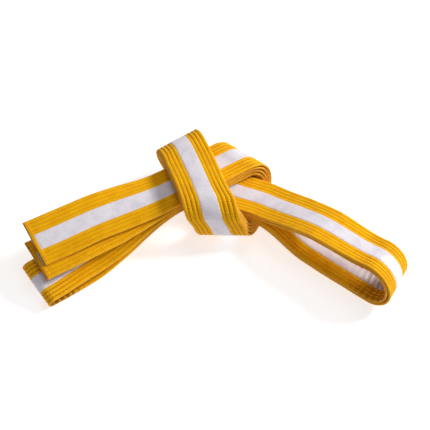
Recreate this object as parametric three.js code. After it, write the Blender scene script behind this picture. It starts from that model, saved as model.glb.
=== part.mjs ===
// A knotted martial arts rank belt: one long quilted strap, folded into four plies and tied
// once in a flat overhand knot. Millimetres, +Z up, origin at the middle of its resting face.
import * as THREE from "three";

// ---------- driving dimensions of the strap ----------
const BELT_WIDTH = 38;
const SLEEVE_THICKNESS = 1.9; // over both faces of the quilted sleeve
const SLEEVE_WALL = 0.4;
const SLEEVE_SHOULDER = 0.6; // how far the turned edge of the sleeve is rounded off
const CORE_MARGIN = 1.2; // between the core strip and the edge of the strap
const RIBBON_WIDTH = 13;
const RIBBON_THICKNESS = 0.25;
const FACE_GAP = 0.1; // between one sewn layer and the next
const END_HEM = 9; // the flat closed length at each cut end
const SEAM_FROM_END = 2.4; // the seam that closes that end
const SEAM_WIDTH = 0.6;
const SEAM_THICKNESS = 0.25;
const SEAM_MARGIN = 1; // between the ends of that seam and the edge of the strap

// ---------- the bundle of four plies ----------
const PLY_PITCH = 2.8; // from one ply's middle to the next
const LEVELS = [1.5, 0.5, -0.5, -1.5]; // ply 1 lies on the outside of every fold of the knot
const OPEN_SPACING = 14; // between the lines of a run that lies nearly flat
const TWIST_SPACING = 8.5; // and of a run that rolls over
const HALF_WIDTH = BELT_WIDTH / 2;
const SHORTEST_TURN = 1e-3;
const UP = new THREE.Vector3(0, 0, 1);
const DEGREE = Math.PI / 180;

const vec = (x, y, z) => new THREE.Vector3(x, y, z);
const heading = (azimuth, rise = 0) =>
  vec(
    Math.cos(azimuth * DEGREE) * Math.cos(rise * DEGREE),
    Math.sin(azimuth * DEGREE) * Math.cos(rise * DEGREE),
    Math.sin(rise * DEGREE),
  );

// ---------- stations ----------
// A station is a straight line across the strap: its middle, the direction of travel and the
// half-width vector that runs to the strap's first edge. The line may cross the strap askew.
const station = (middle, travel, across) => {
  const forward = travel.clone().normalize();
  const direction = across.clone().normalize();
  const square = direction.clone().cross(forward).length();
  return { middle, travel: forward, across: direction.multiplyScalar(HALF_WIDTH / square) };
};

// A pass: a smooth run between two stations, without its own first and last line.
function pass(from, to, spacing = OPEN_SPACING) {
  const chord = from.middle.distanceTo(to.middle);
  const lines = Math.max(1, Math.round(chord / spacing) - 1);
  const turn = Math.max(from.travel.angleTo(to.travel), SHORTEST_TURN);
  const reach = (2 * chord * Math.tan(turn / 4)) / Math.sin(turn / 2);
  const start = from.travel.clone().multiplyScalar(reach);
  const finish = to.travel.clone().multiplyScalar(reach);
  const first = from.across.clone().normalize();
  const last = to.across.clone().normalize();
  return Array.from({ length: lines }, (_, index) => {
    const u = (index + 1) / (lines + 1);
    const middle = vec(0, 0, 0)
      .addScaledVector(from.middle, 2 * u ** 3 - 3 * u ** 2 + 1)
      .addScaledVector(start, u ** 3 - 2 * u ** 2 + u)
      .addScaledVector(to.middle, 3 * u ** 2 - 2 * u ** 3)
      .addScaledVector(finish, u ** 3 - u ** 2);
    const travel = vec(0, 0, 0)
      .addScaledVector(from.middle, 6 * u ** 2 - 6 * u)
      .addScaledVector(start, 3 * u ** 2 - 4 * u + 1)
      .addScaledVector(to.middle, 6 * u - 6 * u ** 2)
      .addScaledVector(finish, 3 * u ** 2 - 2 * u);
    const across = first.clone().lerp(last, u * u * (3 - 2 * u));
    return station(middle, travel, across);
  });
}

// A fold: the strap goes round a cylinder, askew to its axis. The angle is 0 on top of the
// cylinder, 90 at its outermost line and 180 underneath. `slip` is how far it moves along the
// axis for each millimetre that it goes round.
function fold({ centre, azimuth, tilt, outward, radius, flare, from, to, slip, lines }) {
  const axis = heading(azimuth, tilt);
  const top = UP.clone().addScaledVector(axis, -UP.dot(axis)).normalize();
  const side = top.clone().cross(axis).multiplyScalar(outward);
  const sense = Math.sign(to - from);
  return Array.from({ length: lines }, (_, index) => {
    const angle = (from + ((to - from) * index) / (lines - 1)) * DEGREE;
    const round = (angle - 90 * DEGREE) * sense;
    const middle = vec(...centre)
      .addScaledVector(top, radius * Math.cos(angle))
      .addScaledVector(side, radius * Math.sin(angle))
      .addScaledVector(axis, slip * radius * round);
    const travel = axis.clone().multiplyScalar(slip)
      .addScaledVector(top, -Math.sin(angle) * sense)
      .addScaledVector(side, Math.cos(angle) * sense);
    const radial = top.clone().multiplyScalar(Math.cos(angle)).addScaledVector(side, Math.sin(angle));
    return station(middle, travel, axis.clone().multiplyScalar(HALF_WIDTH).addScaledVector(radial, flare));
  });
}

// ---------- the knot, as the middle of the four plies ----------
// Its four runs lie on four levels: across the bottom, out to the right, in from the left and
// the front band on top.
const LEFT_MOUTH = station(vec(-34.8, 20.5, 30.5), heading(32.5, 1), vec(0.53, -0.85, -0.04));
const BACK_RIGHT = {
  centre: [19.1, 49.7, 17.7], azimuth: -38, tilt: 0, outward: 1, radius: 12.2, flare: 0,
  from: 0, to: 180, slip: 0.36, lines: 8,
};
const FRONT_LOW = {
  centre: [3.2, 11.5, 23.7], azimuth: -1, tilt: 0, outward: -1, radius: 18, flare: 0,
  from: 180, to: 90, slip: -0.42, lines: 5,
};
const FRONT_TOP = {
  centre: [-1.2, 3.2, 32.6], azimuth: -1, tilt: 0, outward: -1, radius: 9.7, flare: 0,
  from: 90, to: 5, slip: -0.5, lines: 4,
};
const BACK_LEFT = {
  centre: [-21.2, 57, 29.9], azimuth: 36, tilt: 0, outward: 1, radius: 12.2, flare: 0,
  from: 0, to: 180, slip: 0.25, lines: 8,
};
const CROSSING = station(vec(8.6, 33.1, 17.7), heading(-38), vec(0.6, 0.8, -0.02));
const RIGHT_MOUTH = station(vec(41.3, 16.3, 19.2), heading(-34, 5), vec(0.55, 0.82, -0.06));

function knotStations() {
  const backRight = fold(BACK_RIGHT);
  const frontLow = fold(FRONT_LOW);
  const frontTop = fold(FRONT_TOP);
  const backLeft = fold(BACK_LEFT);
  return [
    LEFT_MOUTH,
    ...pass(LEFT_MOUTH, backRight[0]),
    ...backRight,
    ...pass(backRight.at(-1), frontLow[0]),
    ...frontLow,
    ...frontTop,
    ...pass(frontTop.at(-1), backLeft[0]),
    ...backLeft,
    ...pass(backLeft.at(-1), CROSSING),
    CROSSING,
    ...pass(CROSSING, RIGHT_MOUTH),
    RIGHT_MOUTH,
  ];
}

const normalOf = ({ across, travel }) => across.clone().cross(travel).normalize();

function ply(stations, level) {
  return stations.map((line) => ({
    ...line,
    middle: line.middle.clone().addScaledVector(normalOf(line), level * PLY_PITCH),
  }));
}

const turnedBack = (stations) =>
  stations.map((line) => ({ ...line, travel: line.travel.clone().negate() })).reverse();

// ---------- the two cut ends and the fold on the left ----------
const END_A = station(vec(-139, -35.5, 33.6), heading(27, 2), vec(0.479, -0.77, -0.42));
const WAIST_A = station(vec(-89.3, -8.6, 35.6), heading(28, 0), vec(0.468, -0.809, -0.34));
const END_B = station(vec(-137.3, -45.1, 24.1), heading(30.5, 3), vec(0.515, -0.85, -0.13));
const WAIST_B = station(vec(-87, -14.5, 28), heading(30.5, 2), vec(0.485, -0.845, -0.26));
const WAIST_C = {
  lower: station(vec(-99, -28.5, 6.2), heading(37, 8).negate(), vec(0.57, -0.79, -0.22)),
  upper: station(vec(-97.5, -28, 16), heading(35, 5), vec(0.56, -0.76, -0.33)),
};
const LEFT_FOLD = {
  centre: vec(-133.4, -56.6, 11.6), across: vec(0.58, -0.76, -0.3), radius: 4.3, lines: 9,
};

function leftFold() {
  const { centre, across, radius, lines } = LEFT_FOLD;
  const axis = across.clone().normalize();
  const top = UP.clone().addScaledVector(axis, -UP.dot(axis)).normalize();
  const out = axis.clone().cross(top);
  return Array.from({ length: lines }, (_, index) => {
    const angle = (1 - index / (lines - 1)) * Math.PI;
    const middle = centre.clone()
      .addScaledVector(top, radius * Math.cos(angle))
      .addScaledVector(out, radius * Math.sin(angle));
    const travel = top.clone().multiplyScalar(Math.sin(angle)).addScaledVector(out, -Math.cos(angle));
    return station(middle, travel, axis);
  });
}

// ---------- the two loops on the right ----------
const LOOP = {
  centre: vec(124.7, -51.1, 19.4), azimuth: -32, flare: -2.3, droop: -0.11, veer: 0.14,
  outer: 17.9, inner: 14.9, sweep: 193.5, lines: 10,
};
const CREST = { middle: vec(85.3, -16.4, 34.6), azimuth: -38, rise: 5, across: vec(0.55, 0.81, -0.13) };
const TOUCHDOWN = { middle: vec(78, -10, 1.3), azimuth: -41, across: vec(0.54, 0.84, 0) };

function loopArc(radius) {
  const out = heading(LOOP.azimuth);
  const axis = heading(LOOP.azimuth + 90).setZ(LOOP.droop).normalize();
  return Array.from({ length: LOOP.lines }, (_, index) => {
    const angle = (180 - (LOOP.sweep * index) / (LOOP.lines - 1)) * DEGREE;
    const radial = UP.clone().multiplyScalar(Math.cos(angle)).addScaledVector(out, Math.sin(angle));
    const middle = LOOP.centre.clone()
      .addScaledVector(radial, radius)
      .addScaledVector(axis, LOOP.veer * radius * (1 - Math.sin(angle)));
    const travel = UP.clone().multiplyScalar(Math.sin(angle))
      .addScaledVector(out, -Math.cos(angle))
      .addScaledVector(axis, LOOP.veer * Math.cos(angle));
    const across = axis.clone().multiplyScalar(HALF_WIDTH).addScaledVector(radial, LOOP.flare);
    return station(middle, travel, across);
  });
}

// The strap drops to the resting plane, goes round and comes back over a crest. `inset` is how
// far this loop lies inside the outermost one.
function loopStations(lower, upper, radius, inset) {
  const arc = loopArc(radius);
  const landing = station(
    TOUCHDOWN.middle.clone().addScaledVector(UP, inset), heading(TOUCHDOWN.azimuth), TOUCHDOWN.across,
  );
  const crest = station(
    CREST.middle.clone().addScaledVector(UP, -inset),
    heading(CREST.azimuth, CREST.rise).negate(),
    CREST.across,
  );
  return [
    ...pass(lower, landing),
    landing,
    ...pass(landing, arc[0]),
    ...arc,
    ...pass(arc.at(-1), crest),
    crest,
    ...pass(crest, upper),
  ];
}

// ---------- the whole strap, from end A to end B ----------
function endRun(end, waist, mouth) {
  const hem = { ...end, middle: end.middle.clone().addScaledVector(end.travel, END_HEM) };
  return [end, hem, ...pass(hem, waist), waist, ...pass(waist, mouth, TWIST_SPACING)];
}

// The lower and the upper strand between the knot and the fold on the left.
function foldRun(fromKnot, toKnot) {
  const fold = leftFold();
  const { lower, upper } = WAIST_C;
  return [
    ...pass(fromKnot, lower, TWIST_SPACING),
    lower,
    ...pass(lower, fold[0]),
    ...fold,
    ...pass(fold.at(-1), upper),
    upper,
    ...pass(upper, toKnot, TWIST_SPACING),
  ];
}

function beltStations() {
  const knot = knotStations();
  const [one, two, three, four] = LEVELS.map((level) => ply(knot, level));
  const backTwo = turnedBack(two);
  const backThree = turnedBack(three);
  const backFour = turnedBack(four);
  return [
    ...endRun(END_A, WAIST_A, one[0]),
    ...one,
    ...loopStations(one.at(-1), backFour[0], LOOP.outer, 0),
    ...backFour,
    ...foldRun(backFour.at(-1), three[0]),
    ...three,
    ...turnedBack(loopStations(two.at(-1), backThree[0], LOOP.inner, PLY_PITCH)),
    ...backTwo,
    ...turnedBack(endRun(END_B, WAIST_B, two[0])),
  ];
}

// ---------- lofting a section along the strap ----------
// A section is a closed outline of [across, above] points, drawn looking along the strap. Every
// face is split along the same diagonal, so that the layers stay parallel where the strap rolls.
function loft(stations, outline) {
  const positions = [];
  for (const line of stations) {
    const normal = normalOf(line);
    for (const [across, above] of outline) {
      const point = line.middle.clone()
        .addScaledVector(line.across, across / HALF_WIDTH)
        .addScaledVector(normal, above);
      positions.push(point.x, point.y, point.z);
    }
  }
  const count = outline.length;
  const indices = [];
  for (let row = 0; row < stations.length - 1; row += 1) {
    for (let column = 0; column < count; column += 1) {
      const next = (column + 1) % count;
      const a = row * count + column;
      const b = row * count + next;
      if (outline[next][0] < outline[column][0]) {
        indices.push(a, a + count, b, b, a + count, b + count);
      } else {
        indices.push(a, a + count, b + count, a, b + count, b);
      }
    }
  }
  const caps = THREE.ShapeUtils.triangulateShape(outline.map(([x, y]) => new THREE.Vector2(x, y)), []);
  const end = (stations.length - 1) * count;
  for (const [a, b, c] of caps) {
    indices.push(a, b, c, end + c, end + b, end + a);
  }
  const geometry = new THREE.BufferGeometry();
  geometry.setAttribute("position", new THREE.Float32BufferAttribute(positions, 3));
  geometry.setIndex(indices);
  return geometry;
}

const band = (side, low, high) => [[side, high], [-side, high], [-side, low], [side, low]];
const EDGE_OF_RIBBON = RIBBON_WIDTH / 2;
const underside = (outline) => outline.map(([across, above]) => [across, -above]).reverse();

// The sleeve is turned round one edge of the core and left open along the other.
function sleeveOutline() {
  const outer = SLEEVE_THICKNESS / 2;
  const inner = outer - SLEEVE_WALL;
  const ribbon = EDGE_OF_RIBBON;
  const shoulder = HALF_WIDTH - SLEEVE_SHOULDER;
  const turn = HALF_WIDTH - (SLEEVE_WALL + CORE_MARGIN) / 2;
  return [
    [HALF_WIDTH, outer], [ribbon, outer], [-ribbon, outer], [-shoulder, outer],
    [-HALF_WIDTH, 0],
    [-shoulder, -outer], [-ribbon, -outer], [ribbon, -outer], [HALF_WIDTH, -outer],
    [HALF_WIDTH, -inner], [ribbon, -inner], [-ribbon, -inner], [-turn, -inner],
    [-turn, inner], [-ribbon, inner], [ribbon, inner], [HALF_WIDTH, inner],
  ];
}

function coreOutline() {
  const side = HALF_WIDTH - CORE_MARGIN;
  const above = SLEEVE_THICKNESS / 2 - SLEEVE_WALL - FACE_GAP;
  const upper = [[side, above], [EDGE_OF_RIBBON, above], [-EDGE_OF_RIBBON, above], [-side, above]];
  return [...upper, ...underside(upper)];
}

// A seam across the strap lies on the sleeve and steps up over the ribbon.
function seamOutline() {
  const side = HALF_WIDTH - SEAM_MARGIN;
  const sleeve = SLEEVE_THICKNESS / 2 + FACE_GAP;
  const ribbon = sleeve + RIBBON_THICKNESS + FACE_GAP;
  const innerStep = EDGE_OF_RIBBON + FACE_GAP;
  const outerStep = innerStep + SEAM_THICKNESS;
  const upper = [
    [side, sleeve], [outerStep, sleeve], [outerStep, ribbon],
    [-outerStep, ribbon], [-outerStep, sleeve], [-side, sleeve],
  ].map(([across, above]) => [across, above + SEAM_THICKNESS]);
  const lower = [
    [-side, sleeve], [-innerStep, sleeve], [-innerStep, ribbon],
    [innerStep, ribbon], [innerStep, sleeve], [side, sleeve],
  ];
  return [...upper, ...lower];
}

// The line at a given distance from `from` on the way to `to`, as the strap itself is lofted.
function lineBetween(from, to, distance) {
  const part = distance / from.middle.distanceTo(to.middle);
  return {
    middle: from.middle.clone().lerp(to.middle, part),
    travel: from.travel.clone().lerp(to.travel, part),
    across: from.across.clone().lerp(to.across, part),
  };
}

function seamLines(end, next) {
  const near = lineBetween(end, next, SEAM_FROM_END - SEAM_WIDTH / 2);
  const far = lineBetween(end, next, SEAM_FROM_END + SEAM_WIDTH / 2);
  return [near, far];
}

// ---------- the separate pieces ----------
const cloth = (color, roughness) => new THREE.MeshStandardMaterial({ color, roughness, metalness: 0 });
const GOLDEN_COTTON = cloth("#eaa60c", 0.85);
const WHITE_SATIN = cloth("#dcd8de", 0.6);
const CORE_COTTON = cloth("#d8cfb8", 0.95);
const GOLDEN_THREAD = cloth("#d8920a", 0.7);

const belt = beltStations();
const RIBBON_LOW = SLEEVE_THICKNESS / 2 + FACE_GAP;
const ribbonOutline = band(EDGE_OF_RIBBON, RIBBON_LOW, RIBBON_LOW + RIBBON_THICKNESS);
const seamA = seamLines(belt[0], belt[1]);
const seamB = seamLines(belt.at(-1), belt.at(-2)).reverse();

const group = new THREE.Group();
function add(name, stations, outline, material) {
  const mesh = new THREE.Mesh(loft(stations, outline), material);
  mesh.name = name;
  group.add(mesh);
}

add("cover_sleeve", belt, sleeveOutline(), GOLDEN_COTTON);
add("centre_ribbon_front", belt, ribbonOutline, WHITE_SATIN);
add("centre_ribbon_back", belt, underside(ribbonOutline), WHITE_SATIN);
add("core_strip", belt, coreOutline(), CORE_COTTON);
add("end_seam_a_front", seamA, seamOutline(), GOLDEN_THREAD);
add("end_seam_a_back", seamA, underside(seamOutline()), GOLDEN_THREAD);
add("end_seam_b_front", seamB, seamOutline(), GOLDEN_THREAD);
add("end_seam_b_back", seamB, underside(seamOutline()), GOLDEN_THREAD);

// The origin goes to the middle of the bottom of the whole belt.
const box = new THREE.Box3().setFromObject(group);
const middle = box.getCenter(vec(0, 0, 0));
for (const mesh of group.children) {
  mesh.geometry.translate(-middle.x, -middle.y, -box.min.z);
}

export default group;
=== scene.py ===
"""A knotted martial arts rank belt: a quilted cotton strap with a white ribbon on each face."""
import logging
import math
from dataclasses import dataclass, field
from enum import Enum
from functools import cache
from typing import Any, Callable, Sequence

import bmesh
import bpy
import numpy as np
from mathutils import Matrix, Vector


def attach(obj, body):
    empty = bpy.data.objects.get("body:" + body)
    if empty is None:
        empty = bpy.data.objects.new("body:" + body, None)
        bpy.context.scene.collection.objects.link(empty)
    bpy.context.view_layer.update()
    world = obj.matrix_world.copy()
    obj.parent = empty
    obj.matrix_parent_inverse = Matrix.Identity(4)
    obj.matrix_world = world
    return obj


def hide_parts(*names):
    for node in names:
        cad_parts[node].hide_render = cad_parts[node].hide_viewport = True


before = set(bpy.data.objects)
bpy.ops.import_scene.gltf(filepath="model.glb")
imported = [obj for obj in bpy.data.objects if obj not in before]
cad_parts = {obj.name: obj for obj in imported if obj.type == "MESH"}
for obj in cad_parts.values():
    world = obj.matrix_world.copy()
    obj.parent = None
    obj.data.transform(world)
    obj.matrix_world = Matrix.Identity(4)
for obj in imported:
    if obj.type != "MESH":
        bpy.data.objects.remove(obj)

log = logging.getLogger("belt")

MM = 0.001
UP = Vector((0.0, 0.0, 1.0))
HALF_WIDTH = 19.0
FRAME_ORIGIN = Vector((0.2490, 2.3990, -0.2593))  # the frame's origin, in the route's own millimetres
HEM_FOLD = 3.4  # how far the turned cloth at a cut end reaches over the ribbon
HEM_STEP = 0.3  # over how many millimetres the hem's edge comes down
PINCH_REACH = 0.8  # over how many millimetres a pinched end draws in
PINCH_DEPTH = 0.28  # the share of its thickness that it loses
NEARBY = 0.6  # how far to either side a direction of travel is measured, in millimetres
UV_UNIT = 40.0  # millimetres of cloth to one unit of the UV map
CREASE = "strap_crease"  # point attribute: how deep a place lies between two puckers, 0 to 1, where the shaders paint shade
DRAWN = "strap_drawn"  # point attribute: how hard the folds nearby draw the cloth into ribs, 0 to 1
PLACE = "strap_place"  # point attribute: across, along and outward place on the strap, in mm
LEFT_FOLD_PAST = -128.0  # the tight left fold lies left of this x, in millimetres
INNER_LOOP_PAST = 100.0  # the open loops lie right of this x
LEFT_FOLD_REACH = 400.0  # how far from the strap's half length that fold can be
TIGHT = 0.035  # mean curvature, per millimetre, that draws the cloth into ribs fully
SQUEEZE = 45.0  # millimetres: curvature times this is how much of the puckers shows
COVER_PUCKERS = (5.0, 0.7)  # pitch in millimetres and seed of the cover's puckers
RIBBON_PUCKERS = (5.2, 4.0)  # pitch and seed of the ribbons' puckers

Array = np.ndarray
SkinMap = Callable[[Array, Array, Array, Array], Array]


# ---- the route of the strap


@dataclass(frozen=True)
class Station:
    """A straight line across the strap.

    Attributes:
        middle: The middle of the line, in millimetres.
        travel: The unit direction in which the strap runs.
        across: The half-width vector to the strap's first edge.
    """

    middle: Vector
    travel: Vector
    across: Vector

    def normal(self) -> Vector:
        """Return the unit normal of the strap's front face."""
        return self.across.cross(self.travel).normalized()

    def back(self) -> "Station":
        """Return the same line, travelled the other way."""
        return Station(self.middle, -self.travel, self.across)

    def lifted(self, distance: float) -> "Station":
        """Return this line moved along its normal by a distance in millimetres."""
        return Station(self.middle + self.normal() * distance, self.travel, self.across)


def station(middle: Sequence[float], travel: Vector, across: Sequence[float]) -> Station:
    """Make a station whose line spans the strap squarely, however askew it lies.

    Args:
        middle: The middle of the line.
        travel: The direction of travel.
        across: The direction of the first edge.

    Returns:
        The station, with its half-width vector scaled.
    """
    forward = travel.normalized()
    direction = Vector(across).normalized()
    square = direction.cross(forward).length
    return Station(Vector(middle), forward, direction * (HALF_WIDTH / square))


def heading(azimuth: float, rise: float = 0.0) -> Vector:
    """Return the unit vector at an azimuth and a rise, both in degrees."""
    a, r = math.radians(azimuth), math.radians(rise)
    return Vector((math.cos(a) * math.cos(r), math.sin(a) * math.cos(r), math.sin(r)))


@dataclass(frozen=True)
class Fold:
    """The strap taken round a cylinder, askew to its axis.

    Attributes:
        centre: The middle of the cylinder.
        azimuth: The direction of its axis, in degrees.
        outward: 1 or -1, the side on which the strap goes round.
        radius: The radius of the middle of the bundle.
        start: The angle of the first line, 0 on top and 180 underneath.
        stop: The angle of the last line.
        slip: How far the strap moves along the axis for each millimetre round it.
    """

    centre: Vector
    azimuth: float
    outward: float
    radius: float
    start: float
    stop: float
    slip: float

    def lines(self, spacing: float) -> list[Station]:
        """Return the stations round the fold.

        Args:
            spacing: About how far apart they lie, in millimetres.

        Returns:
            The stations, first to last.
        """
        axis = heading(self.azimuth)
        side = UP.cross(axis) * self.outward
        sense = math.copysign(1.0, self.stop - self.start)
        sweep = math.radians(self.stop - self.start)
        count = max(4, round(abs(sweep) * self.radius / spacing))
        made = []
        for index in range(count + 1):
            angle = math.radians(self.start) + sweep * index / count
            round_it = (angle - math.pi / 2) * sense
            middle = (
                self.centre
                + UP * (self.radius * math.cos(angle))
                + side * (self.radius * math.sin(angle))
                + axis * (self.slip * self.radius * round_it)
            )
            round_way = side * math.cos(angle) - UP * math.sin(angle)
            made.append(station(middle, axis * self.slip + round_way * sense, axis))
        return made


@dataclass
class Route:
    """The whole way of the strap, from one cut end to the other.

    The fields that are not in this list are key points, lines and folds, named after their place.

    Attributes:
        spacing: How far apart its lines lie on a run, in millimetres.
        fine_spacing: How far apart they lie where the cloth puckers.
        fold_spacing: How far apart they lie round a fold.
        ply_pitch: From one ply's middle to the next in the knot.
        levels: The plies of the knot, outermost first, in pitches from its middle.
        fold_c_radius: The radius of the tight left fold.
        loop_azimuth: The direction in which the open loops stand out, in degrees.
        loop_flare: How far a loop's first edge lies outside its middle.
        loop_droop: The rise of a loop's axis.
        loop_veer: How far a loop strays along its axis, for each millimetre back from its tip.
        loop_radii: The radii of the outer and the inner loop's round end.
        loop_sweep: How far round that end goes, in degrees.
        hem: How far from a cut end its close lines reach.
        band_shift: How far the front band is pulled straight sideways, in millimetres.
    """

    spacing: float = 2.3
    fine_spacing: float = 1.3
    fold_spacing: float = 1.7
    ply_pitch: float = 2.8
    levels: tuple[float, ...] = (1.5, 0.5, -0.5, -1.5)

    left_mouth: Station = station((-34.8, 20.5, 30.5), heading(32.5, 1), (0.53, -0.85, -0.04))
    back_right: Fold = Fold(Vector((19.1, 49.7, 17.7)), -38, 1, 12.2, 0, 180, 0.36)
    front_low: Fold = Fold(Vector((3.2, 11.5, 23.7)), -1, -1, 18.0, 180, 90, -0.42)
    front_top: Fold = Fold(Vector((-1.2, 3.2, 32.6)), -1, -1, 9.7, 90, 5, -0.5)
    back_left: Fold = Fold(Vector((-21.2, 57.0, 29.9)), 36, 1, 12.2, 0, 180, 0.25)
    crossing: Station = station((8.6, 33.1, 17.7), heading(-38), (0.6, 0.8, -0.02))
    right_mouth: Station = station((41.3, 16.3, 19.2), heading(-34, 5), (0.55, 0.82, -0.06))
    end_a: Station = station((-139.0, -35.5, 33.6), heading(27, 2), (0.479, -0.77, -0.42))
    waist_a: Station = station((-89.3, -8.6, 35.6), heading(28), (0.468, -0.809, -0.34))
    end_b: Station = station((-137.3, -45.1, 24.1), heading(30.5, 3), (0.515, -0.85, -0.13))
    waist_b: Station = station((-87.0, -14.5, 28.0), heading(30.5, 2), (0.485, -0.845, -0.26))
    waist_c_low: Station = station((-99.0, -28.5, 6.2), -heading(37, 8), (0.57, -0.79, -0.22))
    waist_c_high: Station = station((-97.5, -28.0, 16.0), heading(35, 5), (0.56, -0.76, -0.33))
    fold_c: Vector = field(default_factory=lambda: Vector((-133.4, -56.6, 11.6)))
    fold_c_across: Vector = field(default_factory=lambda: Vector((0.58, -0.76, -0.3)))
    fold_c_radius: float = 4.3
    loop_centre: Vector = field(default_factory=lambda: Vector((124.7, -51.1, 19.4)))
    loop_azimuth: float = -32.0
    loop_flare: float = -2.3
    loop_droop: float = -0.11
    loop_veer: float = 0.14
    loop_radii: tuple[float, float] = (17.9, 14.9)
    loop_sweep: float = 193.5
    crest: Vector = field(default_factory=lambda: Vector((85.3, -16.4, 34.6)))
    touchdown: Vector = field(default_factory=lambda: Vector((78.0, -10.0, 1.3)))
    hem: float = 9.0
    band_shift: float = 2.2

    def run(self, start: Station, stop: Station, spacing: float) -> list[Station]:
        """Return the stations of a smooth run between two stations, without those two."""
        chord = (stop.middle - start.middle).length
        count = max(1, round(chord / spacing) - 1)
        turn = max(start.travel.angle(stop.travel), 1e-3)
        reach = 2 * chord * math.tan(turn / 4) / math.sin(turn / 2)
        leave, arrive = start.travel * reach, stop.travel * reach
        first, last = start.across.normalized(), stop.across.normalized()
        made = []
        for index in range(count):
            u = (index + 1) / (count + 1)
            middle = (
                start.middle * (2 * u**3 - 3 * u**2 + 1)
                + leave * (u**3 - 2 * u**2 + u)
                + stop.middle * (3 * u**2 - 2 * u**3)
                + arrive * (u**3 - u**2)
            )
            travel = (
                start.middle * (6 * u**2 - 6 * u)
                + leave * (3 * u**2 - 4 * u + 1)
                + stop.middle * (6 * u - 6 * u**2)
                + arrive * (3 * u**2 - 2 * u)
            )
            made.append(station(middle, travel, first.lerp(last, u * u * (3 - 2 * u))))
        return made

    def joined(self, *parts: Station | list[Station], spacing: float | None = None) -> list[Station]:
        """Join key stations and folds with smooth runs.

        Args:
            *parts: Stations, or lists of stations, in the order of travel.
            spacing: How far apart the lines of a run lie, when not as usual.

        Returns:
            One list of stations.
        """
        made: list[Station] = []
        for part in parts:
            lines = part if isinstance(part, list) else [part]
            if made:
                made += self.run(made[-1], lines[0], spacing or self.spacing)
            made += lines
        return made

    def knot(self) -> list[Station]:
        """Return the way of the middle of the bundle through the knot."""
        low = self.front_low.lines(self.fold_spacing)
        back = self.back_left.lines(self.fold_spacing)
        before = self.joined(self.left_mouth, self.back_right.lines(self.fold_spacing), low[: len(low) // 2])
        band = self.joined(low[len(low) // 2 :] + self.front_top.lines(self.fold_spacing), back[0])[:-1]
        straight = []
        for index, line in enumerate(band):
            aside = self.band_shift * math.sin(math.pi * index / len(band)) ** 2
            middle = line.middle + line.across.normalized() * aside
            straight.append(Station(middle, line.travel, line.across))
        return before + straight + self.joined(back, self.crossing, self.right_mouth)

    def left_fold(self) -> list[Station]:
        """Return the stations of the tight fold between the two inner plies' tails."""
        axis = self.fold_c_across.normalized()
        top = (UP - axis * UP.dot(axis)).normalized()
        out = axis.cross(top)
        count = 12
        made = []
        for index in range(count + 1):
            angle = math.pi * (1 - index / count)
            radial = top * math.cos(angle) + out * math.sin(angle)
            travel = top * math.sin(angle) - out * math.cos(angle)
            made.append(station(self.fold_c + radial * self.fold_c_radius, travel, axis))
        return made

    def loop(
        self, lower: Station, upper: Station, radius: float, inset: float, spacing: float
    ) -> list[Station]:
        """Return one open loop between two stations at the knot's right mouth.

        Args:
            lower: Where the strap leaves the knot.
            upper: Where it comes back to it.
            radius: The radius of the loop's round end.
            inset: How far this loop lies inside the outermost one.
            spacing: How far apart its lines lie.

        Returns:
            The stations between the two.
        """
        out = heading(self.loop_azimuth)
        axis = heading(self.loop_azimuth + 90)
        axis = Vector((axis.x, axis.y, self.loop_droop)).normalized()
        count = round(math.radians(self.loop_sweep) * radius / min(spacing, self.fold_spacing))
        arc = []
        for index in range(count + 1):
            angle = math.radians(180 - self.loop_sweep * index / count)
            radial = UP * math.cos(angle) + out * math.sin(angle)
            aside = axis * (self.loop_veer * radius * (1 - math.sin(angle)))
            travel = UP * math.sin(angle) + (axis * self.loop_veer - out) * math.cos(angle)
            across = axis * HALF_WIDTH + radial * self.loop_flare
            arc.append(station(self.loop_centre + radial * radius + aside, travel, across))
        landing = station(self.touchdown + UP * inset, heading(-41), (0.54, 0.84, 0.0))
        crest = station(self.crest - UP * inset, -heading(-38, 5), (0.55, 0.81, -0.13))
        return self.joined(lower, landing, arc, crest, upper, spacing=spacing)[1:-1]

    def end_run(self, end: Station, waist: Station, mouth: Station) -> list[Station]:
        """Return a tail from its cut end up to the knot, without its last station."""
        hem = [
            Station(end.middle + end.travel * far, end.travel, end.across)
            for far in (0.0, 0.25, 0.8, HEM_FOLD - HEM_STEP, HEM_FOLD + 0.2, 5.0, 7.0, self.hem)
        ]
        return self.joined(hem, waist, mouth)[:-1]

    def fold_run(self, from_knot: Station, to_knot: Station) -> list[Station]:
        """Return the folded tail between two stations at the knot's left mouth."""
        parts = (from_knot, self.waist_c_low, self.left_fold(), self.waist_c_high, to_knot)
        return self.joined(*parts, spacing=self.fine_spacing)[1:-1]

    def stations(self) -> list[Station]:
        """Return the whole strap's stations, in millimetres."""
        knot = self.knot()
        plies = [[line.lifted(level * self.ply_pitch) for line in knot] for level in self.levels]
        one, two, three, four = plies

        def turned(lines: list[Station]) -> list[Station]:
            """Return the lines in the other order, travelled the other way."""
            return [line.back() for line in reversed(lines)]

        back_two, back_three, back_four = turned(two), turned(three), turned(four)
        outer, inner = self.loop_radii
        return [
            *self.end_run(self.end_a, self.waist_a, one[0]),
            *one,
            *self.loop(one[-1], back_four[0], outer, 0.0, self.spacing),
            *back_four,
            *self.fold_run(back_four[-1], three[0]),
            *three,
            *turned(self.loop(two[-1], back_three[0], inner, self.ply_pitch, self.fine_spacing)),
            *back_two,
            *turned(self.end_run(self.end_b, self.waist_b, two[0])),
        ]


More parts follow.
